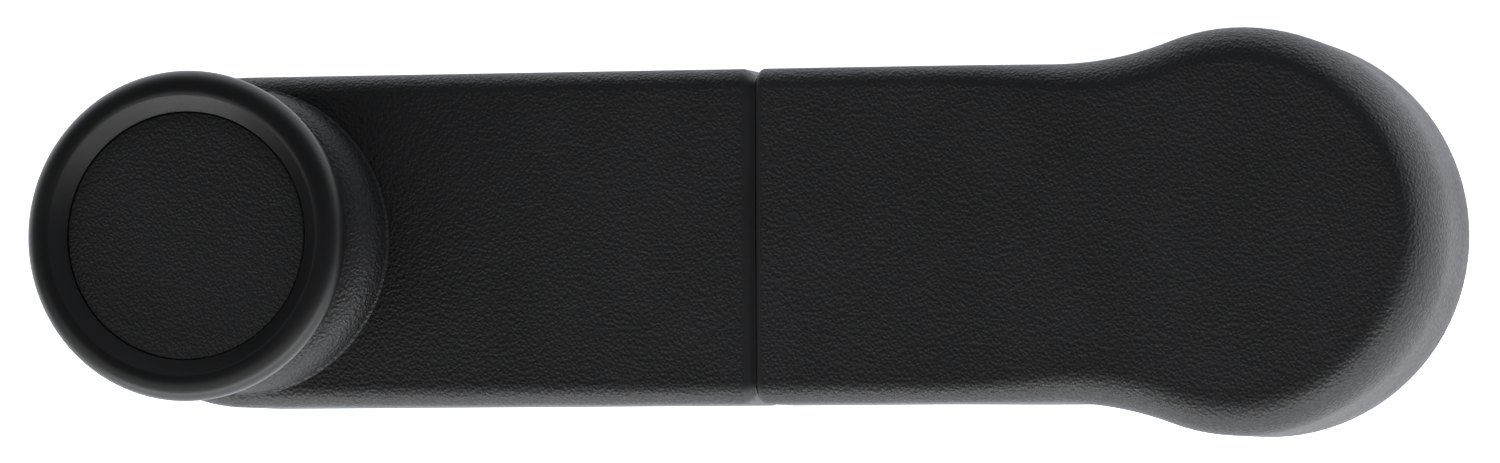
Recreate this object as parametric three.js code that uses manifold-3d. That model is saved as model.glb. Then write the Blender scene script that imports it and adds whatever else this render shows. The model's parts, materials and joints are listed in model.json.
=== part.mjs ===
// A vehicle window-winder handle, built the way it comes apart on a bench.
//
// Frame: millimetres, +Z out of the door towards the hand. The origin lies on the
// spindle axis in the plane of the door trim, and the arm runs along -X to the knob.
//
// The friction ring stays on the door. The crank (core, shells, screws and knob pin)
// turns on it, the hub cover lifts off the crank, and the knob spins on its pin.

import * as THREE from "three";
import { mergeVertices } from "three/addons/utils/BufferGeometryUtils.js";
import Module from "manifold-3d";

const wasm = await Module();
wasm.setup();

// Driving dimensions of the handle.
const CRANK_RADIUS = 102; // spindle axis to knob axis
const ARM_WIDTH = 33.6;
const HUB_RADIUS = 20.25;
const BLEND_RADIUS = 25; // hollow blend from the side of the arm into the hub
const HANDLE_TOP = 23.5; // outer face, above the door trim
const EDGE_FILLET = 2.6; // rounding between the outer face and the sides
const HUB_BACK = 1.9;
const ARM_BACK = 9;
const BACK_SLOPE_START = -21; // where the underside leaves the hub's level
const BACK_SLOPE_END = -33; // where it reaches the arm's level
const WALL = 2; // thickness of the mouldings
const GAP = 0.3; // clearance between pieces that part or turn
const PRESS_GAP = 0.05; // clearance drawn where the real pieces are a press fit

// The seam across the arm between the arm shell and the hub cover.
const COVER_END_X = -48.4;
const SHELL_END_X = -49.4;
const SEAM_DEPTH = 1.2;
const TONGUE_END_X = -43; // the shell's tongue reaches this far under the cover
const TONGUE_WALL = 1.8;
const THICK_END_LENGTH = 3; // of the shell's thick end, which carries the tongue

// The metal core and what it carries.
const CORE_BOTTOM = 13;
const CORE_TOP = 16.5;
const CORE_HALF_WIDTH = 10;
const CORE_HUB_RADIUS = 12;
const CORE_HUB_BACK = 2.5;
const CORE_WEB_BOTTOM = 14.5; // the web that the retaining screw clamps
const SLEEVE_RADIUS = 7;
const SERRATION_ROOT = 4.9;
const SERRATION_TIP = 4.45;
const SERRATIONS = 24;
const POCKET = { start: -52, end: -20, radius: 3, depth: 1.2 }; // lightens the lever
const SCREW_RADIUS = 2.5; // M5 retaining screw
const SCREW_TIP = 9;
const SCREW_HEAD_RADIUS = 5;
const SCREW_HEAD_TOP = 21.1;
const SCREW_HOLE_RADIUS = 2.8;
const PLAIN_WASHER_RADIUS = 6.2;
const PLAIN_WASHER_TOP = CORE_TOP + 1;
const SPRING_WASHER_RADIUS = 4.7;
const SPRING_WASHER_TOP = PLAIN_WASHER_TOP + 1.2;

// The self-tapping screws that hold the back cover to the arm shell.
const SHELL_SCREWS = { inner: -62, outer: -84 }; // X of each screw
const SHELL_SCREW_RADIUS = 1.6;
const SHELL_SCREW_TIP = 20.5;
const SHELL_SCREW_HEAD_RADIUS = 3.2;
const SHELL_SCREW_HEAD_BOTTOM = ARM_BACK + GAP;
const SHELL_SCREW_SEAT = ARM_BACK + WALL;
const POST_RADIUS = 3.5; // posts in the arm shell that the screws bite into
const PILLAR_RADIUS = 4.6; // pillars of the back cover that stand on the core

// The clips on the core and the ridges that they hold inside the hub cover.
const CLIP_X = -26;
const CLIP_LENGTH = 7;
const CLIP_SHEET = 0.7;
const CLIP_LEG = 4; // how far each leg of a clip reaches over the core
const RIDGE_DEPTH = 1.35;
const RIDGE_LOW = 9.6;
const RIDGE_HIGH = 11;

// The boss under the knob, and the knob.
const BOSS_RADIUS = 15.7;
const BOSS_TOP = 28;
const BOSS_RIM_RADIUS = 10.4;
const BOSS_HOLE_RADIUS = 6.4;
const BOSS_BASE = 22; // its underside, within the thickness of the outer face
const PIN_RADIUS = 4;
const PIN_TOP = 38.6;
const RIVET_RADIUS = 3; // the pin's tail through the core
const RIVET_BOTTOM = 11.3;
const PIN_WASHER_RADIUS = 6.5;
const PIN_WASHER_BOTTOM = CORE_BOTTOM - 1;
const RETAINER_LOW = 36.9;
const RETAINER_HIGH = 37.5;
const THRUST_WASHER_RADIUS = 9.8;
const THRUST_WASHER_TOP = 28.8;
const KNOB_BOTTOM = THRUST_WASHER_TOP + GAP;
const KNOB_TOP = 43.5;
const KNOB_RADIUS = 16.4;
const RIM_RADIUS = 2; // section of the rolled rim
const CAP_RADIUS = 12.3;
const CAP_TOP = 41.9;
const CAP_THICKNESS = 1.5;
const CAVITY_RADIUS = 9.8;
const CAVITY_FLOOR = 35;
const BUSH_RADIUS = 6;
const BUSH_FLANGE_RADIUS = 8;
const BUSH_FLANGE = 1; // thickness

const ROUND_SEGMENTS = 32;
const OUTLINE_SEGMENTS = 12; // for each arc of an extruded outline
const FAR = 200; // well past every edge of the handle

// ---------------------------------------------------------------- solid helpers

function solidOf(geometry) {
  const bare = geometry.clone();
  bare.deleteAttribute("normal");
  bare.deleteAttribute("uv");
  const merged = mergeVertices(bare, 1e-4);
  const mesh = new wasm.Mesh({
    numProp: 3,
    vertProperties: merged.attributes.position.array,
    triVerts: new Uint32Array(merged.index.array),
  });
  return new wasm.Manifold(mesh);
}

function geometryOf(solid) {
  const mesh = solid.getMesh();
  const geometry = new THREE.BufferGeometry();
  geometry.setAttribute("position", new THREE.BufferAttribute(mesh.vertProperties, 3));
  geometry.setIndex(new THREE.BufferAttribute(mesh.triVerts, 1));
  geometry.computeVertexNormals();
  return geometry;
}

// A solid of revolution about Z. The profile lists [radius, height] anticlockwise,
// from the axis back to the axis.
function turned(profile) {
  const points = profile.map(([radius, height]) => new THREE.Vector2(radius, height));
  return solidOf(new THREE.LatheGeometry(points, ROUND_SEGMENTS).rotateX(Math.PI / 2));
}

// The same for a profile that stays clear of the axis and closes on itself.
function turnedRing(profile) {
  return turned([...profile, profile[0]]);
}

function rod(radius, low, high, x = 0) {
  const geometry = new THREE.CylinderGeometry(radius, radius, high - low, ROUND_SEGMENTS);
  return solidOf(geometry.rotateX(Math.PI / 2).translate(x, 0, (low + high) / 2));
}

function washer(innerRadius, outerRadius, low, high) {
  return turnedRing([
    [innerRadius, low],
    [outerRadius, low],
    [outerRadius, high],
    [innerRadius, high],
  ]);
}

function box(low, high) {
  const size = high.map((value, i) => value - low[i]);
  const middle = high.map((value, i) => (value + low[i]) / 2);
  return solidOf(new THREE.BoxGeometry(...size).translate(...middle));
}

// An outline in X and Y, raised from one height to another. A fillet rounds both rims.
function raised(shape, low, high, fillet = 0) {
  const geometry = new THREE.ExtrudeGeometry(shape, {
    depth: high - low - 2 * fillet,
    curveSegments: OUTLINE_SEGMENTS,
    bevelEnabled: fillet > 0,
    bevelSize: fillet,
    bevelThickness: fillet,
    bevelOffset: -fillet,
    bevelSegments: 4,
  });
  return solidOf(geometry.translate(0, 0, low + fillet));
}

// An outline given as [x, z] points, as wide across the handle as twice halfWidth.
function sideways(points, halfWidth) {
  const shape = new THREE.Shape(points.map(([x, z]) => new THREE.Vector2(x, z)));
  const geometry = new THREE.ExtrudeGeometry(shape, { depth: 2 * halfWidth, bevelEnabled: false });
  return solidOf(geometry.translate(0, 0, -halfWidth).rotateX(Math.PI / 2));
}

function between(lowX, highX) {
  return box([lowX, -FAR, -FAR], [highX, FAR, FAR]);
}

// ---------------------------------------------------------------- shared outlines

// The plan of the handle, inset from its sides: round knob end, straight sides,
// hollow blends and round hub. Every arc keeps its centre, so each inset is parallel.
function planShape(inset) {
  const half = ARM_WIDTH / 2 - inset;
  const blend = BLEND_RADIUS + inset;
  const blendY = ARM_WIDTH / 2 + BLEND_RADIUS;
  const blendX = -Math.sqrt((HUB_RADIUS + BLEND_RADIUS) ** 2 - blendY ** 2);
  const lean = Math.atan2(blendY, -blendX); // of the line from blend centre to hub axis
  const quarter = Math.PI / 2;
  const shape = new THREE.Shape();
  shape.absarc(-CRANK_RADIUS, 0, half, quarter, 3 * quarter, false);
  shape.absarc(blendX, -blendY, blend, quarter, lean, true);
  shape.absarc(0, 0, HUB_RADIUS - inset, lean - Math.PI, Math.PI - lean, false);
  shape.absarc(blendX, blendY, blend, -lean, -quarter, true);
  return shape;
}

// The space above the underside of the handle, which steps up from the hub to the arm.
function aboveBack(offset) {
  return sideways(
    [
      [-FAR, ARM_BACK + offset],
      [BACK_SLOPE_END, ARM_BACK + offset],
      [BACK_SLOPE_START, HUB_BACK + offset],
      [FAR, HUB_BACK + offset],
      [FAR, FAR],
      [-FAR, FAR],
    ],
    FAR,
  );
}

// A block with the plan of the handle, solid down past the underside.
function planBlock(inset) {
  const fillet = inset === 0 ? EDGE_FILLET : 0;
  return raised(planShape(inset), -FAR, HANDLE_TOP - inset, fillet);
}

// A slot outline between two points on the X axis.
function slotShape(lowX, highX, radius) {
  const quarter = Math.PI / 2;
  const shape = new THREE.Shape();
  shape.absarc(lowX, 0, radius, quarter, 3 * quarter, false);
  shape.absarc(highX, 0, radius, -quarter, quarter, false);
  return shape;
}

// A circle left open over an angle about +X, as a split washer or a snap ring is.
function openRingShape(innerRadius, outerRadius, openAngle) {
  const start = openAngle / 2;
  const end = 2 * Math.PI - start;
  const shape = new THREE.Shape();
  shape.absarc(0, 0, outerRadius, start, end, false);
  shape.absarc(0, 0, innerRadius, end, start, true);
  return shape;
}

// A cross recess in the top of a screw head.
function crossRecess(span, top, depth) {
  const half = span / 2;
  const slit = span / 9;
  const along = box([-half, -slit, top - depth], [half, slit, top + depth]);
  const across = box([-slit, -half, top - depth], [slit, half, top + depth]);
  return along.add(across);
}

// ---------------------------------------------------------------- door side

function frictionRing() {
  const inner = 11;
  const outer = 18.5;
  const thickness = 1.6;
  const chamfer = 0.3;
  return turnedRing([
    [inner, 0],
    [outer, 0],
    [outer, thickness - chamfer],
    [outer - chamfer, thickness],
    [inner + chamfer, thickness],
    [inner, thickness - chamfer],
  ]);
}

// ---------------------------------------------------------------- core and hub

function armCore() {
  const lever = raised(slotShape(-CRANK_RADIUS, 0, CORE_HALF_WIDTH), CORE_BOTTOM, CORE_TOP);
  const hub = rod(CORE_HUB_RADIUS, CORE_HUB_BACK, CORE_TOP);
  const pocketShape = slotShape(POCKET.start, POCKET.end, POCKET.radius);
  let core = lever.add(hub);
  core = core.subtract(rod(SLEEVE_RADIUS + PRESS_GAP, -FAR, CORE_WEB_BOTTOM));
  core = core.subtract(rod(SCREW_HOLE_RADIUS, 0, FAR));
  core = core.subtract(rod(RIVET_RADIUS + 2 * PRESS_GAP, 0, FAR, -CRANK_RADIUS));
  core = core.subtract(raised(pocketShape, CORE_TOP - POCKET.depth, FAR));
  for (const x of Object.values(SHELL_SCREWS)) {
    core = core.subtract(rod(SHELL_SCREW_RADIUS + 0.5, 0, FAR, x));
  }
  return core;
}

function hubSleeve() {
  const shape = new THREE.Shape();
  shape.absarc(0, 0, SLEEVE_RADIUS, 0, 2 * Math.PI, false);
  const bore = [];
  for (let i = 0; i < 2 * SERRATIONS; i += 1) {
    const radius = i % 2 ? SERRATION_TIP : SERRATION_ROOT;
    const angle = (-Math.PI * i) / SERRATIONS;
    bore.push(new THREE.Vector2(radius * Math.cos(angle), radius * Math.sin(angle)));
  }
  shape.holes.push(new THREE.Path(bore));
  return raised(shape, CORE_HUB_BACK, CORE_WEB_BOTTOM - GAP);
}

function plainWasher() {
  return washer(SCREW_HOLE_RADIUS, PLAIN_WASHER_RADIUS, CORE_TOP, PLAIN_WASHER_TOP);
}

function springWasher() {
  const split = 0.25;
  const shape = openRingShape(SCREW_RADIUS + 0.2, SPRING_WASHER_RADIUS, split);
  return raised(shape, PLAIN_WASHER_TOP, SPRING_WASHER_TOP);
}

function retainingScrew() {
  const recessSpan = 5;
  const recessDepth = 1.3;
  const screw = turned([
    [0, SCREW_TIP],
    [SCREW_RADIUS - 0.6, SCREW_TIP],
    [SCREW_RADIUS, SCREW_TIP + 0.8],
    [SCREW_RADIUS, SPRING_WASHER_TOP],
    [SCREW_HEAD_RADIUS, SPRING_WASHER_TOP],
    [SCREW_HEAD_RADIUS, SCREW_HEAD_TOP - 1],
    [SCREW_HEAD_RADIUS - 0.9, SCREW_HEAD_TOP - 0.2],
    [SCREW_HEAD_RADIUS - 2, SCREW_HEAD_TOP],
    [0, SCREW_HEAD_TOP],
  ]);
  return screw.subtract(crossRecess(recessSpan, SCREW_HEAD_TOP, recessDepth));
}

// ---------------------------------------------------------------- mouldings

// The removable cover over the hub and the inner half of the arm.
function hubCover() {
  const outer = planBlock(0).intersect(aboveBack(0)).intersect(between(COVER_END_X, FAR));
  const innerHalf = ARM_WIDTH / 2 - WALL;
  const low = [CLIP_X - CLIP_LENGTH / 2, innerHalf - RIDGE_DEPTH, RIDGE_LOW];
  const high = [CLIP_X + CLIP_LENGTH / 2, innerHalf + WALL / 2, RIDGE_HIGH];
  const upperRidge = box(low, high);
  const lowerRidge = box([low[0], -high[1], low[2]], [high[0], -low[1], high[2]]);
  return outer.subtract(planBlock(WALL)).add(upperRidge).add(lowerRidge);
}

// The raised, rounded boss that carries the knob, about the knob axis.
function knobBoss() {
  const shoulder = [];
  const steps = 6;
  const first = 0.25; // the rounding starts a little up its ellipse, above a small step
  for (let i = 0; i <= steps; i += 1) {
    const angle = first + (i / steps) * (Math.PI / 2 - first);
    const radius = BOSS_RIM_RADIUS + (BOSS_RADIUS - BOSS_RIM_RADIUS) * Math.cos(angle);
    shoulder.push([radius, HANDLE_TOP + (BOSS_TOP - HANDLE_TOP) * Math.sin(angle)]);
  }
  return turnedRing([
    [BOSS_HOLE_RADIUS, BOSS_TOP - WALL],
    [BOSS_HOLE_RADIUS + WALL, BOSS_TOP - WALL],
    [BOSS_RADIUS - 2 * WALL, BOSS_BASE],
    [BOSS_RADIUS, BOSS_BASE],
    ...shoulder,
    [BOSS_HOLE_RADIUS, BOSS_TOP],
  ]).translate([-CRANK_RADIUS, 0, 0]);
}

// The outer half of the arm, with the knob boss and the tongue under the cover.
function armShell() {
  const thickEnd = SHELL_END_X - THICK_END_LENGTH;
  const tongueInset = WALL + GAP;
  const body = planBlock(0).intersect(between(-FAR, SHELL_END_X));
  const seamFloor = planBlock(SEAM_DEPTH).intersect(between(thickEnd, COVER_END_X - GAP));
  const tongue = planBlock(tongueInset).intersect(between(thickEnd, TONGUE_END_X));
  const bossSeat = rod(BOSS_RADIUS - 2 * WALL, CORE_TOP, FAR, -CRANK_RADIUS);
  const backRecess = box([-FAR, -FAR, -FAR], [FAR, FAR, ARM_BACK + WALL + GAP]);
  let shell = body.add(seamFloor).add(tongue).intersect(aboveBack(0));
  shell = shell.subtract(planBlock(WALL).intersect(between(-FAR, thickEnd)));
  shell = shell.subtract(planBlock(tongueInset + TONGUE_WALL).intersect(between(thickEnd - 1, FAR)));
  shell = shell.subtract(planBlock(WALL).intersect(backRecess));
  shell = shell.subtract(bossSeat).add(knobBoss());
  for (const x of Object.values(SHELL_SCREWS)) {
    const post = rod(POST_RADIUS, CORE_TOP, HANDLE_TOP - WALL / 2, x);
    const pilot = rod(SHELL_SCREW_RADIUS + 2 * PRESS_GAP, 0, SHELL_SCREW_TIP + 0.5, x);
    shell = shell.add(post).subtract(pilot);
  }
  return shell;
}

// The plate that closes the back of the handle round the core's hub.
function backCover() {
  const plate = planBlock(WALL + GAP).intersect(aboveBack(0)).subtract(aboveBack(WALL));
  let cover = plate;
  for (const x of Object.values(SHELL_SCREWS)) {
    cover = cover.add(rod(PILLAR_RADIUS, ARM_BACK, CORE_BOTTOM, x));
    cover = cover.subtract(rod(SHELL_SCREW_RADIUS + 0.4, 0, FAR, x));
    cover = cover.subtract(rod(SHELL_SCREW_HEAD_RADIUS + GAP, 0, SHELL_SCREW_SEAT, x));
  }
  return cover.subtract(rod(CORE_HUB_RADIUS + GAP, -FAR, FAR));
}

// A self-tapping screw, head down in the back cover, about its own axis.
function shellScrew() {
  const rounding = 0.7;
  const taper = 1.5;
  const recessSpan = 3.6;
  const recessDepth = 0.9;
  const screw = turned([
    [0, SHELL_SCREW_HEAD_BOTTOM],
    [SHELL_SCREW_HEAD_RADIUS - rounding, SHELL_SCREW_HEAD_BOTTOM],
    [SHELL_SCREW_HEAD_RADIUS, SHELL_SCREW_HEAD_BOTTOM + rounding],
    [SHELL_SCREW_HEAD_RADIUS, SHELL_SCREW_SEAT],
    [SHELL_SCREW_RADIUS, SHELL_SCREW_SEAT],
    [SHELL_SCREW_RADIUS, SHELL_SCREW_TIP - taper],
    [0.4, SHELL_SCREW_TIP],
    [0, SHELL_SCREW_TIP],
  ]);
  return screw.subtract(crossRecess(recessSpan, SHELL_SCREW_HEAD_BOTTOM, recessDepth));
}

// A spring-steel clip that grips the edge of the core. Its tongue holds the cover.
// The section lies in the XZ plane here, and the clip is turned to its side of the arm.
function coverClip() {
  const edge = CORE_HALF_WIDTH;
  const legEnd = edge - CLIP_LEG;
  const crown = CORE_TOP + CLIP_SHEET;
  const elbow = [edge + 2.4, 14.6]; // where the tongue turns back in over the ridge
  const tip = [edge + 1.4, 12];
  const section = [
    [legEnd, CORE_BOTTOM - CLIP_SHEET],
    [edge + CLIP_SHEET, CORE_BOTTOM - CLIP_SHEET],
    [edge + CLIP_SHEET, CORE_TOP],
    elbow,
    tip,
    [tip[0] + CLIP_SHEET, tip[1]],
    [elbow[0] + CLIP_SHEET, elbow[1]],
    [edge + CLIP_SHEET, crown],
    [legEnd, crown],
    [legEnd, CORE_TOP],
    [edge, CORE_TOP],
    [edge, CORE_BOTTOM],
    [legEnd, CORE_BOTTOM],
  ];
  return sideways(section, CLIP_LENGTH / 2);
}

// ---------------------------------------------------------------- knob and its pin

function knobPin() {
  const flange = 6;
  const flangeTop = CORE_TOP + 2;
  const rivetHead = 4.6;
  const grooveRadius = 3.4;
  const chamfer = 0.5;
  return turned([
    [0, RIVET_BOTTOM],
    [rivetHead - 0.4, RIVET_BOTTOM],
    [rivetHead, PIN_WASHER_BOTTOM],
    [RIVET_RADIUS, PIN_WASHER_BOTTOM],
    [RIVET_RADIUS, CORE_TOP],
    [flange, CORE_TOP],
    [flange, flangeTop],
    [PIN_RADIUS, flangeTop],
    [PIN_RADIUS, RETAINER_LOW],
    [grooveRadius, RETAINER_LOW],
    [grooveRadius, RETAINER_HIGH],
    [PIN_RADIUS, RETAINER_HIGH],
    [PIN_RADIUS, PIN_TOP - chamfer],
    [PIN_RADIUS - chamfer, PIN_TOP],
    [0, PIN_TOP],
  ]);
}

function pinWasher() {
  return washer(RIVET_RADIUS + 0.2, PIN_WASHER_RADIUS, PIN_WASHER_BOTTOM, CORE_BOTTOM);
}

function thrustWasher() {
  return washer(PIN_RADIUS + 0.4, THRUST_WASHER_RADIUS, BOSS_TOP, THRUST_WASHER_TOP);
}

// A ring bent into three waves, which takes up the play under the retainer.
function waveWasher() {
  const inner = PIN_RADIUS + GAP;
  const outer = 6.2;
  const middle = 35.9;
  const halfThickness = 0.2;
  const waves = 3;
  const waveHeight = 0.4;
  const profile = [
    [inner, middle - halfThickness],
    [outer, middle - halfThickness],
    [outer, middle + halfThickness],
    [inner, middle + halfThickness],
    [inner, middle - halfThickness],
  ];
  const points = profile.map(([radius, height]) => new THREE.Vector2(radius, height));
  const ring = new THREE.LatheGeometry(points, ROUND_SEGMENTS).rotateX(Math.PI / 2);
  const position = ring.attributes.position;
  for (let i = 0; i < position.count; i += 1) {
    const angle = Math.atan2(position.getY(i), position.getX(i));
    position.setZ(i, position.getZ(i) + waveHeight * Math.sin(waves * angle));
  }
  return solidOf(ring);
}

function knobRetainer() {
  const inner = 3.5;
  const outer = 6;
  const openAngle = 1.2;
  return raised(openRingShape(inner, outer, openAngle), RETAINER_LOW, RETAINER_HIGH);
}

function knobBush() {
  const flangeTop = KNOB_BOTTOM + BUSH_FLANGE;
  return turnedRing([
    [PIN_RADIUS + GAP, KNOB_BOTTOM],
    [BUSH_FLANGE_RADIUS, KNOB_BOTTOM],
    [BUSH_FLANGE_RADIUS, flangeTop],
    [BUSH_RADIUS, flangeTop],
    [BUSH_RADIUS, CAVITY_FLOOR],
    [PIN_RADIUS + GAP, CAVITY_FLOOR],
  ]);
}

// The knob: a waisted neck, a rolled rim, a bevel inside it and a seat for the cap.
function knobBody() {
  const rimCentre = KNOB_RADIUS - RIM_RADIUS;
  const rimHeight = KNOB_TOP - RIM_RADIUS;
  const flangeSeat = KNOB_BOTTOM + BUSH_FLANGE + 0.1;
  const flangeSeatRadius = BUSH_FLANGE_RADIUS + 0.1;
  const capSeat = CAP_TOP - CAP_THICKNESS;
  const waist = new THREE.CubicBezierCurve(
    new THREE.Vector2(10.8, KNOB_BOTTOM + 0.6),
    new THREE.Vector2(9.2, KNOB_BOTTOM + 4),
    new THREE.Vector2(12.2, KNOB_BOTTOM + 8),
    new THREE.Vector2(14.6, rimHeight - RIM_RADIUS),
  );
  const rim = [];
  const steps = 10;
  for (let i = 0; i <= steps; i += 1) {
    const angle = -Math.PI / 3 + (i / steps) * ((5 * Math.PI) / 6);
    const radius = rimCentre + RIM_RADIUS * Math.cos(angle);
    rim.push([radius, rimHeight + RIM_RADIUS * Math.sin(angle)]);
  }
  return turnedRing([
    [BUSH_RADIUS + PRESS_GAP, flangeSeat],
    [flangeSeatRadius, flangeSeat],
    [flangeSeatRadius, KNOB_BOTTOM],
    [10.3, KNOB_BOTTOM],
    ...waist.getPoints(8).map((point) => [point.x, point.y]),
    ...rim,
    [CAP_RADIUS + 0.2, CAP_TOP],
    [CAP_RADIUS + 0.1, capSeat],
    [CAVITY_RADIUS, capSeat],
    [CAVITY_RADIUS, CAVITY_FLOOR],
    [BUSH_RADIUS + PRESS_GAP, CAVITY_FLOOR],
  ]);
}

// The disc in the knob's top, with a skirt that grips the wall of the cavity.
function knobCap() {
  const bottom = CAP_TOP - CAP_THICKNESS;
  const skirtBottom = bottom - 2.5;
  const skirtOuter = CAVITY_RADIUS - 0.1;
  const skirtInner = skirtOuter - 1.5;
  const chamfer = 0.15;
  return turned([
    [0, bottom],
    [skirtInner, bottom],
    [skirtInner, skirtBottom],
    [skirtOuter, skirtBottom],
    [skirtOuter, bottom],
    [CAP_RADIUS, bottom],
    [CAP_RADIUS, CAP_TOP - chamfer],
    [CAP_RADIUS - chamfer, CAP_TOP],
    [0, CAP_TOP],
  ]);
}

// ---------------------------------------------------------------- assembly

function finish(color, roughness, metalness) {
  return { color, roughness, metalness };
}

const GRAINED_PLASTIC = finish(0x232325, 0.6, 0);
const SMOOTH_PLASTIC = finish(0x1f1f21, 0.32, 0);
const BACK_PLASTIC = finish(0x262628, 0.7, 0);
const NYLON = finish(0xd8d4c8, 0.5, 0);
const ZINC = finish(0x8f9294, 0.5, 0.9);
const STEEL = finish(0xb4b6b8, 0.35, 1);
const SPRING_STEEL = finish(0x5b5f66, 0.4, 1);
const BRASS = finish(0xb08d4a, 0.4, 1);

function piece(parent, name, solid, look) {
  const mesh = new THREE.Mesh(geometryOf(solid), new THREE.MeshStandardMaterial(look));
  mesh.name = name;
  parent.add(mesh);
  return mesh;
}

const handle = new THREE.Group();
handle.name = "window_winder_handle";

const door = new THREE.Group();
piece(door, "friction_ring", frictionRing(), BACK_PLASTIC);

const crank = new THREE.Group();
piece(crank, "arm_core", armCore(), ZINC);
piece(crank, "hub_sleeve", hubSleeve(), STEEL);
piece(crank, "plain_washer", plainWasher(), STEEL);
piece(crank, "spring_washer", springWasher(), SPRING_STEEL);
piece(crank, "retaining_screw", retainingScrew(), STEEL);
piece(crank, "arm_shell", armShell(), GRAINED_PLASTIC);
piece(crank, "back_cover", backCover(), BACK_PLASTIC);
for (const [place, x] of Object.entries(SHELL_SCREWS)) {
  piece(crank, `shell_screw_${place}`, shellScrew(), STEEL).position.x = x;
}
for (const [side, turn] of Object.entries({ left: Math.PI / 2, right: -Math.PI / 2 })) {
  const clip = piece(crank, `cover_clip_${side}`, coverClip(), SPRING_STEEL);
  clip.position.x = CLIP_X;
  clip.rotation.z = turn;
}

const cover = new THREE.Group();
piece(cover, "hub_cover", hubCover(), GRAINED_PLASTIC);

const pinAxis = new THREE.Group();
pinAxis.position.x = -CRANK_RADIUS;
piece(pinAxis, "knob_pin", knobPin(), STEEL);
piece(pinAxis, "pin_washer", pinWasher(), STEEL);
piece(pinAxis, "knob_thrust_washer", thrustWasher(), NYLON);
piece(pinAxis, "knob_wave_washer", waveWasher(), SPRING_STEEL);
piece(pinAxis, "knob_retainer", knobRetainer(), SPRING_STEEL);

const knob = new THREE.Group();
knob.position.x = -CRANK_RADIUS;
piece(knob, "knob_bush", knobBush(), BRASS);
piece(knob, "knob_body", knobBody(), SMOOTH_PLASTIC);
piece(knob, "knob_cap", knobCap(), GRAINED_PLASTIC);

handle.add(door, crank, cover, pinAxis, knob);

export default handle;
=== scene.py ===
"""The looks of the window-winder handle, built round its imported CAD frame.

Lengths are in metres. The frame gives the main sizes and places; what it doesn't give is
named here in millimetres. The handle is symmetric about its long axis, so the mouldings
are built from ribs: half cross-sections that are mirrored and joined into closed shells.
"""

import json
import math

import bmesh
import bpy
from mathutils import Matrix, Vector


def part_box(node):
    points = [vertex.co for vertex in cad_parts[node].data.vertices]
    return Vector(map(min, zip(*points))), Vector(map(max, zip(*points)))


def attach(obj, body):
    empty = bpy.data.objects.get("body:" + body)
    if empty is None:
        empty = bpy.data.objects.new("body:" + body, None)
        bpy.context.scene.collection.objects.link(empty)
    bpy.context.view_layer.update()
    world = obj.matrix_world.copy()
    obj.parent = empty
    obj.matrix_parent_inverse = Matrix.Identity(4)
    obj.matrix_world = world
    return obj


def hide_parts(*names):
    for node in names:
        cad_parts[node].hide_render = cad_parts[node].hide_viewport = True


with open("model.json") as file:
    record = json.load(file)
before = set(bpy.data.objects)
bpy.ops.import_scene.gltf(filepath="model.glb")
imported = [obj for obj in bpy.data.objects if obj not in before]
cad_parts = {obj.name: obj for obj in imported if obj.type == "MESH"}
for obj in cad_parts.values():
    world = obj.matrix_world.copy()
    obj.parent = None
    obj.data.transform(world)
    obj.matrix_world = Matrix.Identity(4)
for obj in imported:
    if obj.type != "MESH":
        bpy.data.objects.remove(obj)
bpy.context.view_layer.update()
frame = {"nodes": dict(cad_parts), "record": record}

MM = 0.001

# ------------------------------------------------------------------ sizes from the frame

cover_low, cover_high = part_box("hub_cover")
shell_low, shell_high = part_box("arm_shell")
body_low, body_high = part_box("knob_body")
cap_low, cap_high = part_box("knob_cap")
core_low, core_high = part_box("arm_core")
_, ring_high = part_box("friction_ring")

KNOB_X = (body_low.x + body_high.x) / 2
KNOB_RADIUS = (body_high.x - body_low.x) / 2
KNOB_BOTTOM = body_low.z
KNOB_TOP = body_high.z
CAP_RADIUS = (cap_high.x - cap_low.x) / 2
CAP_BOTTOM = cap_low.z
CAP_TOP = cap_high.z
HUB_RADIUS = cover_high.y
HUB_BACK = cover_low.z
ARM_HALF = shell_high.y  # half the arm's width
ARM_BACK = shell_low.z
FACE = cover_high.z  # the outer face of the arm and hub
BOSS_TOP = shell_high.z
COVER_END_X = cover_low.x
TONGUE_END_X = shell_high.x
CORE_HUB_RADIUS = core_high.x
CORE_BOTTOM = core_low.z
CORE_TOP = core_high.z
RING_RADIUS = ring_high.x
RING_TOP = ring_high.z

# ------------------------------------------------------------------ sizes of the mouldings

WALL = 2 * MM
GAP = 0.3 * MM  # between mouldings that fit into each other
BLEND_RADIUS = 33 * MM  # of the hollow between hub and arm, seen from above
PAST_BLEND_X = -19.6 * MM  # the first straight station after that hollow
SLOPE_START_X = -21 * MM  # where the underside starts to rise from the hub
SLOPE_END_X = -33 * MM  # where it reaches the arm's level
PAST_SLOPE_X = -38 * MM
NEAR_SEAM_X = -44 * MM

ARM_FILLET = (2.1 * MM, 2.4 * MM)  # width and height of the rounding of the outer edge
HUB_FILLET = (3.6 * MM, 4.5 * MM)
HUB_TIP_FILLET = (4 * MM, 9 * MM)
FILLET_CHANGE = (-30 * MM, -8 * MM)  # where the arm's rounding turns into the hub's
LEAST_FILLET = 0.4 * MM
BACK_EDGE = 0.35 * MM  # rounding of the walls' back edges
SUPPORT = 0.15 * MM  # narrow flat loop that keeps the flat faces flat in shading

SEAM_DEPTH = 0.85 * MM  # at the sides of the arm
SEAM_FACE_SHARE = 0.6  # of that depth on the flat face
SEAM_GAP = 0.08 * MM
SHOULDER = 1.3 * MM  # length of the arm shell's smooth shoulder in the seam
SHOULDER_LAND = 0.2 * MM  # from the shoulder's foot to the gap
COVER_EDGE = 0.6 * MM  # length of the cover's rounded edge there
TONGUE_WALL = 1.8 * MM

RIDGE_X = (-29.5 * MM, -22.5 * MM)  # ends of the ridges that the clips hold
RIDGE_Z = (9.6 * MM, 11 * MM)
RIDGE_DEPTH = 1.35 * MM

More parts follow.
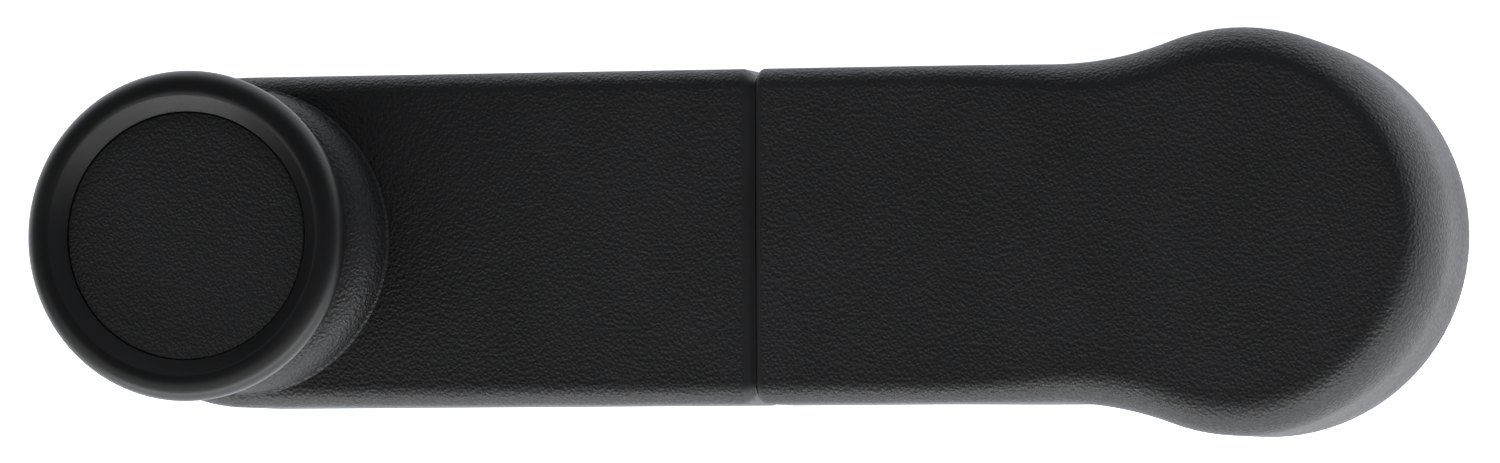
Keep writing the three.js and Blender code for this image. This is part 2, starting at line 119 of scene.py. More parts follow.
SCREW_XS = (-62 * MM, -84 * MM)  # of the screws from the back cover into the arm shell
PILLAR_RADIUS = 3.5 * MM  # in the arm shell
PILOT_RADIUS = 1.7 * MM
PILOT_TOP = 21 * MM
POST_RADIUS = 4.6 * MM  # on the back cover
POST_TOP = CORE_BOTTOM + 10.5 * MM
SCREW_HOLE_RADIUS = 2 * MM
SCREW_SEAT_RADIUS = 3.5 * MM
ABOVE_POSTS = 30 * MM  # any height over the back cover, for the ends of its cutters

CAP_THICKNESS = 1.5 * MM
CAVITY_RADIUS = 9.8 * MM  # of the hollow in the knob
CAVITY_FLOOR = 35 * MM

SHARP_ANGLE = math.radians(32)  # edges that turn by more are shaded sharp
MERGE_DISTANCE = 0.0001 * MM


# ------------------------------------------------------------------ numbers and profiles

def evenly(start, end, count):
    """The ends of a range and the places that part it into count equal steps."""
    return [start + (end - start) * i / count for i in range(count + 1)]


def smooth_step(t):
    """Eases from 0 to 1 while t goes from 0 to 1, and stays level outside."""
    t = min(1.0, max(0.0, t))
    return t * t * (3 - 2 * t)


def heading(angle):
    return Vector((math.cos(angle), math.sin(angle)))


def arc(centre, radius, start, end, steps):
    """Points (radius, height) on an arc of a profile, with angles in degrees."""
    points = []
    for degrees in evenly(start, end, steps):
        angle = math.radians(degrees)
        points.append((centre[0] + radius * math.cos(angle), centre[1] + radius * math.sin(angle)))
    return points


def bezier(points, steps):
    """Points (radius, height) on a cubic curve of a profile."""
    curve = []
    for t in evenly(0, 1, steps):
        shares = ((1 - t) ** 3, 3 * t * (1 - t) ** 2, 3 * t ** 2 * (1 - t), t ** 3)
        curve.append(tuple(sum(w * p[k] for w, p in zip(shares, points)) for k in (0, 1)))
    return curve


# ------------------------------------------------------------------ mesh helpers

def smooth_by_angle(obj):
    """Shades an object smooth but for its sharp edges."""
    obj.data.shade_smooth()
    obj.data.set_sharp_from_angle(angle=SHARP_ANGLE)
    return obj


def finish_mesh(name, bm):
    """An object made from a bmesh, with doubles merged and its faces turned outwards."""
    bmesh.ops.remove_doubles(bm, verts=bm.verts, dist=MERGE_DISTANCE)
    bmesh.ops.dissolve_degenerate(bm, edges=bm.edges, dist=MERGE_DISTANCE)
    bmesh.ops.recalc_face_normals(bm, faces=bm.faces)
    mesh = bpy.data.meshes.new(name)
    bm.to_mesh(mesh)
    bm.free()
    obj = bpy.data.objects.new(name, mesh)
    bpy.context.scene.collection.objects.link(obj)
    return smooth_by_angle(obj)


def grid_faces(bm, rows):
    """Quads between neighbouring rows of vertices."""
    for row, after in zip(rows, rows[1:]):
        for j in range(len(row) - 1):
            bm.faces.new((row[j], row[j + 1], after[j + 1], after[j]))


def lathe(name, profile, axis_x=0.0, segments=96):
    """A closed profile of (radius, height) points, turned about a vertical axis."""
    bm = bmesh.new()
    columns = []
    for i in range(segments):
        angle = 2 * math.pi * i / segments
        c, s = math.cos(angle), math.sin(angle)
        columns.append([bm.verts.new((axis_x + r * c, r * s, z)) for r, z in profile])
    for i in range(segments):
        here, after = columns[i], columns[(i + 1) % segments]
        for j in range(len(profile)):
            k = (j + 1) % len(profile)
            on_the_axis = profile[j][0] == 0 and profile[k][0] == 0
            if not on_the_axis:
                bm.faces.new((here[j], after[j], after[k], here[k]))
    return finish_mesh(name, bm)


def rod(radius, low, high, x=0.0, segments=64):
    """An upright cylinder, as a tool for joining or cutting."""
    return lathe("tool", [(0, low), (radius, low), (radius, high), (0, high)], x, segments)


def block(low, high):
    """A box, as a tool for joining or cutting."""
    bm = bmesh.new()
    bmesh.ops.create_cube(bm, size=1)
    low, high = Vector(low), Vector(high)
    bmesh.ops.scale(bm, vec=high - low, verts=bm.verts)
    bmesh.ops.translate(bm, vec=(low + high) / 2, verts=bm.verts)
    return finish_mesh("tool", bm)


def combine(obj, tool, operation):
    """Joins or cuts obj with a closed tool object, which is used up."""
    modifier = obj.modifiers.new("combine", "BOOLEAN")
    modifier.operation = operation
    modifier.solver = "EXACT"
    modifier.object = tool
    bpy.context.view_layer.update()
    evaluated = obj.evaluated_get(bpy.context.evaluated_depsgraph_get())
    mesh = bpy.data.meshes.new_from_object(evaluated)
    obj.modifiers.clear()
    obj.data = mesh
    bpy.data.objects.remove(tool)


# ------------------------------------------------------------------ plan of the handle
# A station is a point of the plan's outline, on the side where y > 0, with its outward
# normal. Stepping in along the normal gives every parallel outline.

def hub_stations(hub_steps=30, blend_steps=10):
    """From the tip of the hub round to the end of the hollow blend."""
    blend_y = ARM_HALF + BLEND_RADIUS
    blend_x = -math.sqrt((HUB_RADIUS + BLEND_RADIUS) ** 2 - blend_y ** 2)
    centre = Vector((blend_x, blend_y))
    lean = math.atan2(blend_y, -blend_x)
    stations = []
    for angle in evenly(0, math.pi - lean, hub_steps):
        normal = heading(angle)
        stations.append((HUB_RADIUS * normal, normal))
    for angle in evenly(-lean, -math.pi / 2, blend_steps)[1:]:
        inward = heading(angle)
        stations.append((centre + BLEND_RADIUS * inward, -inward))
    return stations


def side_station(x):
    """On the straight side of the arm."""
    return Vector((x, ARM_HALF)), Vector((0, 1))


def knob_end_stations(steps=24):
    """From the tip under the knob round to the straight side."""
    centre = Vector((KNOB_X, 0))
    normals = [heading(angle) for angle in evenly(math.pi, math.pi / 2, steps)]
    return [(centre + ARM_HALF * normal, normal) for normal in normals]


def back_height(x):
    """Height of the underside, which rises from the hub to the arm."""
    share = smooth_step((x - SLOPE_END_X) / (SLOPE_START_X - SLOPE_END_X))
    return ARM_BACK + (HUB_BACK - ARM_BACK) * share


def edge_fillet(point, normal):
    """The rounding of the outer face grows from the arm to the hub and round to its tip."""
    start, end = FILLET_CHANGE
    share = smooth_step((point.x - start) / (end - start))
    tip_share = smooth_step(normal.x) if point.x > 0 else 0
    sizes = []
    for arm, hub, tip in zip(ARM_FILLET, HUB_FILLET, HUB_TIP_FILLET):
        side = arm + (hub - arm) * share
        sizes.append(side + (tip - side) * tip_share)
    return sizes


# ------------------------------------------------------------------ ribs and shells

def rib_point(station, depth, z):
    """A point at a depth inside the plan's outline."""
    point, normal = station
    p = point - normal * depth
    return Vector((p.x, p.y, z))


def mirrored(half):
    """A whole rib from its half, which ends on the centre line."""
    return half + [Vector((p.x, -p.y, p.z)) for p in reversed(half[:-1])]


def over_the_top(station, inset, side, drop=None):
    """A whole rib from the points of its side: adds the rounded edge and the flat top."""
    width, height = (max(size - inset, LEAST_FILLET) for size in edge_fillet(*station))
    top = FACE - (inset if drop is None else drop)
    foot = side[-1].z
    for share in (0.35, 0.75):
        side.append(rib_point(station, inset, foot + (top - height - foot) * share))
    for angle in evenly(0, math.pi / 2, 12):
        depth = width * (1 - math.cos(angle))
        side.append(rib_point(station, inset + depth, top - height * (1 - math.sin(angle))))
    inner = rib_point(station, inset + (width + SUPPORT), top)
    for share in (1, 0.66, 0.33, 0):
        side.append(Vector((inner.x, inner.y * share, top)))
    return mirrored(side)


def outer_rib(station, inset=0.0, bottom=None, drop=None):
    """A rib of the outside, with a rounded back edge. The face is drop lower, or inset."""
    low = back_height(station[0].x) if bottom is None else bottom
    side = []
    for degrees in (0, 45, 90):
        angle = math.radians(degrees)
        depth = inset + BACK_EDGE * (1 - math.sin(angle))
        side.append(rib_point(station, depth, low + BACK_EDGE * (1 - math.cos(angle))))
    return over_the_top(station, inset, side, drop)


def seam_rib(station, share):
    """A rib in the groove between the mouldings, at a share of its full depth."""
    depth = SEAM_DEPTH * share
    return outer_rib(station, depth, drop=depth * SEAM_FACE_SHARE)


def inner_rib(station, inset=WALL, bottom=None, foot_inset=None):
    """A rib of the inside, from the height bottom or else from the back.

    With a foot_inset it always starts at the back, and the wall is that thick up to bottom.
    """
    back = back_height(station[0].x)
    bottom = back if bottom is None else bottom
    foot = [(inset, bottom)] * 3
    if foot_inset is not None:
        foot = [(foot_inset, back), (foot_inset, bottom), (inset, bottom)]
    side = [rib_point(station, depth, z) for depth, z in foot]
    return over_the_top(station, inset, side)


def shell(name, pairs):
    """A moulding, open at the back and at its last pair of (outer, inner) ribs."""
    bm = bmesh.new()
    outer = [[bm.verts.new(p) for p in pair[0]] for pair in pairs]
    inner = [[bm.verts.new(p) for p in pair[1]] for pair in pairs]
    grid_faces(bm, outer)
    grid_faces(bm, inner)
    for edge in (0, -1):
        grid_faces(bm, [[row[edge] for row in outer], [row[edge] for row in inner]])
    grid_faces(bm, [outer[-1], inner[-1]])
    return finish_mesh(name, bm)


# ------------------------------------------------------------------ the mouldings

def hub_cover():
    """The cover of the hub and the inner arm, with the two ridges that the clips hold."""
    slope = evenly(SLOPE_START_X, SLOPE_END_X, 12)
    straight = [side_station(x) for x in (PAST_BLEND_X, *slope, PAST_SLOPE_X, NEAR_SEAM_X)]
    pairs = [(outer_rib(station), inner_rib(station)) for station in hub_stations() + straight]
    for degrees in evenly(0, 80, 4):
        angle = math.radians(degrees)
        station = side_station(COVER_END_X + COVER_EDGE * (1 - math.sin(angle)))
        pairs.append((seam_rib(station, 1 - math.cos(angle)), inner_rib(station)))
    cover = shell("grained_hub_cover", pairs)
    wall = ARM_HALF - WALL
    sides = ((wall - RIDGE_DEPTH, wall + WALL / 2), (-wall - WALL / 2, RIDGE_DEPTH - wall))
    for ridge_y in sides:
        low, high = zip(RIDGE_X, ridge_y, RIDGE_Z)
        combine(cover, block(low, high), "UNION")
    return smooth_by_angle(cover)


def boss_profile():
    """The rounded boss under the knob, hollow underneath, as (radius, height)."""
    outer = 15.7 * MM
    rim = 10.4 * MM
    hole = 6.4 * MM
    step = 0.45 * MM  # height of the ledge round the foot of its dome
    dome_foot = outer - 0.25 * MM
    dome_rise = BOSS_TOP - FACE - step
    dome_start = 14  # degrees up from level, so that the dome leaves the ledge at a slant
    start_cos = math.cos(math.radians(dome_start))
    start_sin = math.sin(math.radians(dome_start))
    base = FACE - WALL
    lip = base - 0.4 * MM
    profile = [(hole, BOSS_TOP - WALL), (hole + WALL, BOSS_TOP - WALL)]
    profile += [(outer - 2.2 * WALL, base + 0.2 * MM), (outer - 1.4 * WALL, lip)]
    profile += [(outer, lip), (outer, FACE + 0.6 * step)]
    for degrees in evenly(dome_start, 90, 10):
        angle = math.radians(degrees)
        radius = rim + (dome_foot - rim) * math.cos(angle) / start_cos
        height = FACE + step + dome_rise * (math.sin(angle) - start_sin) / (1 - start_sin)
        profile.append((radius, height))
    profile.append((hole, BOSS_TOP))
    return profile


def arm_shell():
    """The outer half of the arm, with the boss, two screw pillars and a tongue."""
    shelf = ARM_BACK + WALL + GAP  # the inside of the wall is thicker from here up
    tongue_inset = WALL + GAP
    inside = tongue_inset + TONGUE_WALL
    seam_x = COVER_END_X - SEAM_GAP
    shoulder_x = seam_x - SHOULDER_LAND - SHOULDER
    thick_x = shoulder_x - 2.4 * MM  # where the wall's thick part starts
    stations = knob_end_stations() + [side_station(x) for x in evenly(KNOB_X, thick_x, 10)[1:]]
    pairs = [(outer_rib(station), inner_rib(station)) for station in stations]
    pairs.append((outer_rib(stations[-1]), inner_rib(stations[-1], inside, shelf, WALL)))
    for share in evenly(0, 1, 8):
        station = side_station(shoulder_x + SHOULDER * share)
        fall = 0.6 * share ** 2 + 0.4 * share  # steeper towards the gap
        pairs.append((seam_rib(station, fall), inner_rib(station, inside, shelf, WALL)))
    seam = side_station(seam_x)
    pairs.append((seam_rib(seam, 1), inner_rib(seam, inside, shelf, WALL)))
    tongue_end = (TONGUE_END_X, tongue_inset + GAP)
    for x, inset in ((seam_x, tongue_inset), (TONGUE_END_X - GAP, tongue_inset), tongue_end):
        station = side_station(x)
        pairs.append((outer_rib(station, inset, shelf), inner_rib(station, inside, shelf)))
    moulding = shell("grained_arm_shell", pairs)
    opening_radius = 12.4 * MM  # in the face, closed again by the boss
    combine(moulding, rod(opening_radius, FACE - 2 * WALL, FACE + WALL, KNOB_X), "DIFFERENCE")
    combine(moulding, lathe("tool", boss_profile(), KNOB_X), "UNION")
    for x in SCREW_XS:
        combine(moulding, rod(PILLAR_RADIUS, CORE_TOP, FACE - WALL / 2, x, 32), "UNION")
        combine(moulding, rod(PILOT_RADIUS, CORE_TOP - MM, PILOT_TOP, x, 32), "DIFFERENCE")
    return smooth_by_angle(moulding)


def back_cover():
    """The plate in the back of the handle, with its hub hole, posts and sunk screw seats."""
    inset = WALL + GAP
    edge = 0.3 * MM
    outline = ((edge, 0), (0, edge), (0, WALL - edge), (edge, WALL))
    straight = evenly(SLOPE_START_X, SLOPE_END_X, 14) + evenly(PAST_SLOPE_X, KNOB_X, 10)
    stations = hub_stations() + [side_station(x) for x in straight[:-1]]
    stations += reversed(knob_end_stations())
    bm = bmesh.new()
    rings = []
    for station in stations:
        low = back_height(station[0].x)
        rim = [rib_point(station, inset + depth, low + height) for depth, height in outline]
        under = [Vector((rim[0].x, rim[0].y * share, low)) for share in (0, 0.5, 0.97)]
        over = [Vector((rim[3].x, rim[3].y * share, low + WALL)) for share in (0.97, 0.5, 0)]
        half = under + rim + over
        other_half = [Vector((p.x, -p.y, p.z)) for p in reversed(half[1:-1])]
        ring = [bm.verts.new(p) for p in half + other_half]
        rings.append(ring + ring[:1])
    grid_faces(bm, rings)
    plate = finish_mesh("textured_back_cover", bm)
    for x in SCREW_XS:
        combine(plate, rod(POST_RADIUS, ARM_BACK + WALL / 2, POST_TOP, x, 48), "UNION")
        combine(plate, rod(SCREW_HOLE_RADIUS, 0, ABOVE_POSTS, x, 48), "DIFFERENCE")
        combine(plate, rod(SCREW_SEAT_RADIUS, 0, ARM_BACK + WALL, x, 48), "DIFFERENCE")
    combine(plate, rod(CORE_HUB_RADIUS + GAP, -WALL, ABOVE_POSTS, segments=96), "DIFFERENCE")
    return smooth_by_angle(plate)


# ------------------------------------------------------------------ knob and ring

def knob_body():
    """The knob: a foot with a washer recess, waist, rolled rim, bevel and hollow."""
    bore = 6.05 * MM
    recess = 8.1 * MM
    recess_top = KNOB_BOTTOM + 1.1 * MM
    foot = 10 * MM
    corner = 0.5 * MM  # radius of the foot's rounded corner
    tube = 2 * MM  # radius of the rolled rim
    crest = (KNOB_RADIUS - tube, KNOB_TOP - tube)
    seat = CAP_RADIUS + 0.02 * MM
    seat_floor = CAP_TOP - CAP_THICKNESS
    waist = (
        (10.75 * MM, KNOB_BOTTOM + 0.9 * MM),
        (9.2 * MM, KNOB_BOTTOM + 4 * MM),
        (12.2 * MM, KNOB_BOTTOM + 8 * MM),
        (14.6 * MM, KNOB_TOP - 4 * MM),
    )
    bevel = [
        (CAP_RADIUS + 1.65 * MM, KNOB_TOP - 0.1 * MM),
        (CAP_RADIUS + 1.5 * MM, KNOB_TOP - 0.22 * MM),
        (CAP_RADIUS + 0.2 * MM, CAP_TOP - 0.02 * MM),
        (seat + 0.02 * MM, CAP_TOP - 0.14 * MM),
        (seat, CAP_TOP - 0.24 * MM),
    ]
    profile = [(bore, recess_top), (recess, recess_top), (recess, KNOB_BOTTOM), (foot, KNOB_BOTTOM)]
    profile += arc((10.2 * MM, KNOB_BOTTOM + corner), corner, -80, 30, 4)
    profile += bezier(waist, 16)
    profile += arc(crest, tube, -52, 92, 16)
    profile += bevel
    profile += [(seat, seat_floor), (CAVITY_RADIUS, seat_floor)]
    profile += [(CAVITY_RADIUS, CAVITY_FLOOR), (bore, CAVITY_FLOOR)]
    return lathe("smooth_knob_body", profile, KNOB_X, 128)


def knob_cap():
    """The slightly domed disc in the knob, with a skirt that enters the hollow."""
    bottom = CAP_TOP - CAP_THICKNESS
    crown = 0.1 * MM
    edge = 0.28 * MM
    skirt = CAVITY_RADIUS - 0.1 * MM
    skirt_inside = skirt - 1.5 * MM
    profile = [(0, bottom), (skirt_inside, bottom), (skirt_inside, CAP_BOTTOM)]
    profile += [(skirt, CAP_BOTTOM), (skirt, bottom), (CAP_RADIUS, bottom)]
    profile += arc((CAP_RADIUS - edge, CAP_TOP - crown - edge), edge, 0, 80, 6)
    for share in evenly(1, 0, 8)[1:]:
        profile.append((share * (CAP_RADIUS - 1.2 * edge), CAP_TOP - crown * share ** 2))
    return lathe("grained_knob_cap", profile, KNOB_X)


def friction_ring():
    """The thin ring between the hub and the door trim."""
    inner = 11 * MM
    edge = 0.3 * MM
    profile = [(inner, edge), (inner + edge, 0), (RING_RADIUS - edge, 0), (RING_RADIUS, edge)]
    profile += arc((RING_RADIUS - edge, RING_TOP - edge), edge, 0, 90, 3)
    profile += arc((inner + edge, RING_TOP - edge), edge, 90, 180, 3)
    return lathe("door_friction_ring", profile)


# ------------------------------------------------------------------ shader helpers

def new_material(name, color, roughness, metallic=0.0, specular=0.5):
    """A material with plain values, its node tree and shader, and the texture place."""
    material = bpy.data.materials.new(name)
    material.use_nodes = True
    tree = material.node_tree
    shader = tree.nodes["Principled BSDF"]
    shader.inputs["Base Color"].default_value = (*color, 1)
    shader.inputs["Roughness"].default_value = roughness
    shader.inputs["Metallic"].default_value = metallic
    shader.inputs["Specular IOR Level"].default_value = specular
    place = tree.nodes.new("ShaderNodeTexCoord")
    return material, tree, shader, place.outputs["Object"]


def noise(tree, place, scale, detail=3.0, distortion=0.0):
    """A noise value. Its scale is in features a metre."""
    node = tree.nodes.new("ShaderNodeTexNoise")
    node.inputs["Scale"].default_value = scale
    node.inputs["Detail"].default_value = detail
    node.inputs["Distortion"].default_value = distortion
    tree.links.new(place, node.inputs["Vector"])
    return node.outputs["Fac"]


def spread(tree, value, low, high, from_low=0.3, from_high=0.7):
    """Maps the middle of a texture's values onto a range."""
    node = tree.nodes.new("ShaderNodeMapRange")
    node.inputs["From Min"].default_value = from_low
    node.inputs["From Max"].default_value = from_high
    node.inputs["To Min"].default_value = low
    node.inputs["To Max"].default_value = high
    tree.links.new(value, node.inputs["Value"])
    return node.outputs["Result"]


def combine_values(tree, operation, first, second=0, clamp=False):
    """A sum or the like of two values, each a number or a node's output."""
    node = tree.nodes.new("ShaderNodeMath")
    node.operation = operation
    node.use_clamp = clamp
    for socket, value in zip(node.inputs, (first, second)):
        if isinstance(value, (int, float)):
            socket.default_value = value
        else:
            tree.links.new(value, socket)
    return node.outputs["Value"]


def color_by(tree, shader, share, first, second):
    """Colours the shader from the first colour to the second."""
    node = tree.nodes.new("ShaderNodeMix")
    node.data_type = "RGBA"
    node.inputs["A"].default_value = (*first, 1)
    node.inputs["B"].default_value = (*second, 1)
    tree.links.new(share, node.inputs["Factor"])
    tree.links.new(node.outputs["Result"], shader.inputs["Base Color"])


def worn_edges(tree):
    """Rises to 1 on convex edges, from the curvature of the mesh."""
    geometry = tree.nodes.new("ShaderNodeNewGeometry")
    return spread(tree, geometry.outputs["Pointiness"], 0, 1, from_low=0.52, from_high=0.62)


def mottle(tree, shader, clouds, edges, dark, pale, reach):
    """Colours the shader by the clouds, up to a reach towards pale, and pale on its edges."""
    tone = combine_values(tree, "ADD", spread(tree, clouds, 0, reach), edges, clamp=True)
    color_by(tree, shader, tone, dark, pale)


def bump(tree, shader, height, strength, distance):
    node = tree.nodes.new("ShaderNodeBump")
    node.inputs["Strength"].default_value = strength
    node.inputs["Distance"].default_value = distance
    tree.links.new(height, node.inputs["Height"])
    tree.links.new(node.outputs["Normal"], shader.inputs["Normal"])


def leather_grain(tree, place, cell):
    """Height of a moulded leather grain: rounded pebbles parted by fine creases."""
    warp = tree.nodes.new("ShaderNodeTexNoise")
    warp.inputs["Scale"].default_value = 0.35 / cell
    warp.inputs["Detail"].default_value = 2
    tree.links.new(place, warp.inputs["Vector"])
    shift = tree.nodes.new("ShaderNodeVectorMath")
    shift.operation = "SCALE"
    shift.inputs["Scale"].default_value = 1.1 * cell
    tree.links.new(warp.outputs["Color"], shift.inputs[0])
    moved = tree.nodes.new("ShaderNodeVectorMath")
    moved.operation = "ADD"
    tree.links.new(place, moved.inputs[0])
    tree.links.new(shift.outputs["Vector"], moved.inputs[1])
    pebbles = tree.nodes.new("ShaderNodeTexVoronoi")
    pebbles.feature = "SMOOTH_F1"
    pebbles.inputs["Scale"].default_value = 1 / cell
    pebbles.inputs["Smoothness"].default_value = 0.35
    tree.links.new(moved.outputs["Vector"], pebbles.inputs["Vector"])
    rounded = spread(tree, pebbles.outputs["Distance"], 1, 0, from_low=0.05, from_high=0.75)
    fine = noise(tree, place, scale=2.2 / cell)
    return combine_values(tree, "ADD", rounded, combine_values(tree, "MULTIPLY", fine, 0.35))


def away_from_seam(tree, place):
    """0 in the smooth groove between the mouldings and 1 on the grained faces."""
    parts = tree.nodes.new("ShaderNodeSeparateXYZ")
    tree.links.new(place, parts.inputs["Vector"])
    middle = COVER_END_X + (COVER_EDGE - SHOULDER) / 2
    half_width = (COVER_EDGE + SHOULDER) / 2
    offset = combine_values(tree, "SUBTRACT", parts.outputs["X"], middle)
    distance = combine_values(tree, "ABSOLUTE", offset)
    return spread(tree, distance, 0, 1, half_width - 0.1 * MM, half_width + 0.15 * MM)


# ------------------------------------------------------------------ materials

def grained_plastic(name, cell=0.35 * MM, depth=0.062 * MM):
    """Black plastic with a moulded leather grain, glossier on its pebbles and its edges."""
    dark = (0.010, 0.010, 0.0108)
    pale = (0.016, 0.016, 0.0175)
    middle_height = 0.7  # of the grain
    material, tree, shader, place = new_material(name, dark, 0.45)
    grain = leather_grain(tree, place, cell)
    clouds = noise(tree, place, scale=90, detail=4)
    edges = worn_edges(tree)
    mottle(tree, shader, clouds, edges, dark, pale, reach=0.7)
    rough = spread(tree, grain, 0.54, 0.38, from_low=0.2, from_high=1.1)
    rough = combine_values(tree, "ADD", rough, spread(tree, clouds, -0.04, 0.04))
    rough = combine_values(tree, "SUBTRACT", rough, combine_values(tree, "MULTIPLY", edges, 0.08))
    tree.links.new(rough, shader.inputs["Roughness"])
    relief = combine_values(tree, "SUBTRACT", grain, middle_height)
    relief = combine_values(tree, "MULTIPLY", relief, away_from_seam(tree, place))
    bump(tree, shader, relief, strength=1, distance=depth)
    return material


def smooth_plastic(name):
    """Black plastic with a satin gloss and hardly any texture."""
    dark = (0.0065, 0.0065, 0.007)
    pale = (0.011, 0.011, 0.012)
    material, tree, shader, place = new_material(name, dark, 0.25, specular=0.4)
    clouds = noise(tree, place, scale=120, detail=4)
    speckle = noise(tree, place, scale=2600, detail=2)
    mottle(tree, shader, clouds, worn_edges(tree), dark, pale, reach=0.6)
    satin = spread(tree, clouds, 0.28, 0.36)
    rough = combine_values(tree, "ADD", satin, spread(tree, speckle, 0, 0.05))
    tree.links.new(rough, shader.inputs["Roughness"])
    bump(tree, shader, speckle, strength=0.25, distance=0.01 * MM)
    return material


def matt_plastic(name):
    """Black plastic with a fine spark-eroded texture, for the back."""
    dark = (0.011, 0.011, 0.0118)
    pale = (0.018, 0.018, 0.0195)
    material, tree, shader, place = new_material(name, dark, 0.65)
    clouds = noise(tree, place, scale=140, detail=4)
    spark = noise(tree, place, scale=4200)
    mottle(tree, shader, clouds, worn_edges(tree), dark, pale, reach=0.6)
    tree.links.new(spread(tree, spark, 0.58, 0.74), shader.inputs["Roughness"])
    bump(tree, shader, spark, strength=0.7, distance=0.03 * MM)
    return material


def metal(name, dark, pale, roughness, grain_scale, depth):
    """A plated, cast or tempered metal: mottled tone, fine grain and bright edges."""
    material, tree, shader, place = new_material(name, dark, roughness, metallic=1.0)
    clouds = noise(tree, place, scale=260, detail=5, distortion=0.4)
    grain = noise(tree, place, scale=grain_scale, detail=4)
    mottle(tree, shader, clouds, worn_edges(tree), dark, pale, reach=0.8)
    low, high = roughness - 0.08, roughness + 0.1
    tree.links.new(spread(tree, grain, low, high), shader.inputs["Roughness"])
    bump(tree, shader, grain, strength=0.5, distance=depth)
    return material


def nylon(name):
    """Undyed nylon, slightly translucent."""
    warm = (0.52, 0.48, 0.39)
    pale = (0.66, 0.63, 0.55)
    material, tree, shader, place = new_material(name, pale, 0.45)
    shader.inputs["Subsurface Weight"].default_value = 0.15
    shader.inputs["Subsurface Scale"].default_value = MM
    clouds = noise(tree, place, scale=300, detail=4)
    color_by(tree, shader, spread(tree, clouds, 0, 1), warm, pale)
    tree.links.new(spread(tree, clouds, 0.4, 0.52), shader.inputs["Roughness"])
    bump(tree, shader, noise(tree, place, scale=3000), strength=0.3, distance=0.01 * MM)
    return material


def floor_paint(name):
    """White paint that glows too, so that the floor shows as plain white."""
    pale = (0.86, 0.86, 0.87)
    white = (0.9, 0.9, 0.9)
    material, tree, shader, place = new_material(name, white, 0.9, specular=0.2)
    clouds = noise(tree, place, scale=3, detail=2)
    color_by(tree, shader, spread(tree, clouds, 0, 1), pale, white)
    shader.inputs["Emission Color"].default_value = (0.9, 0.93, 1, 1)
    shader.inputs["Emission Strength"].default_value = 1.2
    return material


# ------------------------------------------------------------------ putting it together

def place_piece(obj, body, slot_name, material, *nodes):
    """A finished piece: its finish, the body that carries it and the nodes it stands for."""
    obj.data.materials.clear()
    obj.data.materials.append(material)
    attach(obj, body)
    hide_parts(*nodes)


grained = grained_plastic("grained_plastic")
cap_grain = grained_plastic("grained_cap_plastic", cell=0.33 * MM)
smooth = smooth_plastic("smooth_plastic")
matt = matt_plastic("matt_back_plastic")

place_piece(arm_shell(), "crank", "grained_plastic", grained, "arm_shell")
place_piece(hub_cover(), "cover", "grained_plastic", grained, "hub_cover")
place_piece(back_cover(), "crank", "back_plastic", matt, "back_cover")
place_piece(friction_ring(), "door_side", "back_plastic", matt, "friction_ring")
place_piece(knob_body(), "knob", "smooth_plastic", smooth, "knob_body")
place_piece(knob_cap(), "knob", "cap_plastic", cap_grain, "knob_cap")

# name, dark tone, pale tone, roughness, scale of the grain and its depth
zinc = metal("die_cast_zinc", (0.2, 0.205, 0.21), (0.34, 0.345, 0.35), 0.5, 1800, 0.04 * MM)
steel = metal("plated_steel", (0.42, 0.42, 0.41), (0.6, 0.6, 0.6), 0.32, 3500, 0.008 * MM)
spring = metal("spring_steel", (0.08, 0.085, 0.1), (0.2, 0.205, 0.22), 0.35, 3500, 0.008 * MM)
bronze = metal("bearing_bronze", (0.36, 0.23, 0.08), (0.55, 0.37, 0.14), 0.4, 2500, 0.015 * MM)
FINISHES = {  # of the nodes that keep their CAD shape, by their slot in the record
    "zinc": zinc,
    "steel": steel,
    "spring_steel": spring,
    "brass": bronze,
    "nylon": nylon("natural_nylon"),
}
for part in frame["record"]["subparts"]:
    finish = FINISHES.get(part["material_slot"])
    if finish is not None:
        node = frame["nodes"][part["node"]]
        node.data.materials.clear()
        node.data.materials.append(finish)


# ------------------------------------------------------------------ floor, light, camera

def add_floor():
    """A wide floor just under the handle."""
    bm = bmesh.new()
    bmesh.ops.create_grid(bm, x_segments=8, y_segments=8, size=1.5)
    floor = finish_mesh("floor", bm)
    floor.location = (KNOB_X / 2, 0, -0.05 * MM)
    floor.data.materials.append(floor_paint("pale_floor"))


def add_softbox(name, place, aim, size, power):
    """A rectangular light that is turned towards its aim, with its power in watts."""
    data = bpy.data.lights.new(name, "AREA")
    data.shape = "RECTANGLE"
    data.size, data.size_y = size
    data.energy = power
    light = bpy.data.objects.new(name, data)
    light.location = place
    light.rotation_mode = "QUATERNION"
    light.rotation_quaternion = (Vector(aim) - Vector(place)).to_track_quat("-Z", "Y")
    bpy.context.scene.collection.objects.link(light)


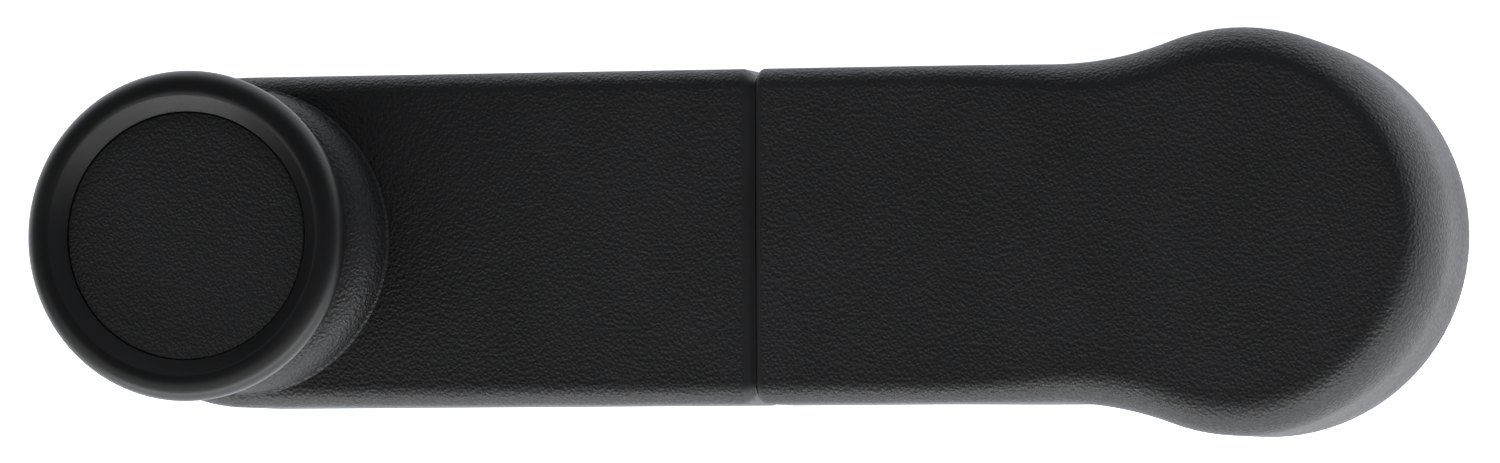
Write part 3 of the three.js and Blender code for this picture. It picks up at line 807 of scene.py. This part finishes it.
def add_lights():
    """A large softbox high on the y < 0 side, a low strip along it and one beyond the hub."""
    middle = (KNOB_X / 2, 0, 0.01)
    hub = (-0.02, 0, 0.01)
    add_softbox("lower_softbox", (-0.2, -0.6, 0.42), middle, size=(1.9, 0.85), power=3.9)
    add_softbox("grazing_softbox", (KNOB_X / 2, -0.2, 0.058), middle, size=(0.5, 0.05), power=0.36)
    add_softbox("corner_softbox", (0.4, -0.4, 0.12), hub, size=(0.4, 0.16), power=0.3)


def add_world(horizon, overhead):
    """A pale surround that is brightest at the horizon and dim overhead."""
    world = bpy.data.worlds.new("studio")
    world.use_nodes = True
    tree = world.node_tree
    background = tree.nodes["Background"]
    background.inputs["Color"].default_value = (0.93, 0.95, 1, 1)
    direction = tree.nodes.new("ShaderNodeTexCoord")
    parts = tree.nodes.new("ShaderNodeSeparateXYZ")
    tree.links.new(direction.outputs["Generated"], parts.inputs["Vector"])
    fall = tree.nodes.new("ShaderNodeMapRange")
    fall.interpolation_type = "SMOOTHSTEP"
    fall.inputs["From Min"].default_value = 0.05
    fall.inputs["From Max"].default_value = 0.55
    fall.inputs["To Min"].default_value = horizon
    fall.inputs["To Max"].default_value = overhead
    tree.links.new(parts.outputs["Z"], fall.inputs["Value"])
    tree.links.new(fall.outputs["Result"], background.inputs["Strength"])
    bpy.context.scene.world = world


def add_camera():
    """Looks down at the middle of the arm's face, from a little towards the hub."""
    distance = 0.76
    seen_width = 149.6 * MM
    yaw, pitch, roll = (math.radians(degrees) for degrees in (13.64, 2.06, -0.2))
    aim = Vector((-48.9 * MM, 0.41 * MM, FACE))
    level = math.cos(pitch)
    back = Vector((math.sin(yaw) * level, -math.sin(pitch), math.cos(yaw) * level))
    right = Vector((0, 1, 0)).cross(back).normalized()
    up = back.cross(right)
    turned_right = right * math.cos(roll) + up * math.sin(roll)
    turned_up = up * math.cos(roll) - right * math.sin(roll)
    data = bpy.data.cameras.new("camera")
    data.sensor_width = 36
    data.lens = data.sensor_width * distance / seen_width
    data.clip_start, data.clip_end = 0.01, 10
    camera = bpy.data.objects.new("camera", data)
    turn = Matrix((turned_right, turned_up, back)).transposed()
    camera.matrix_world = Matrix.Translation(aim + back * distance) @ turn.to_4x4()
    bpy.context.scene.collection.objects.link(camera)
    bpy.context.scene.camera = camera


add_floor()
add_lights()
add_world(horizon=0.5, overhead=0.16)
add_camera()
bpy.context.scene.view_settings.view_transform = "Standard"
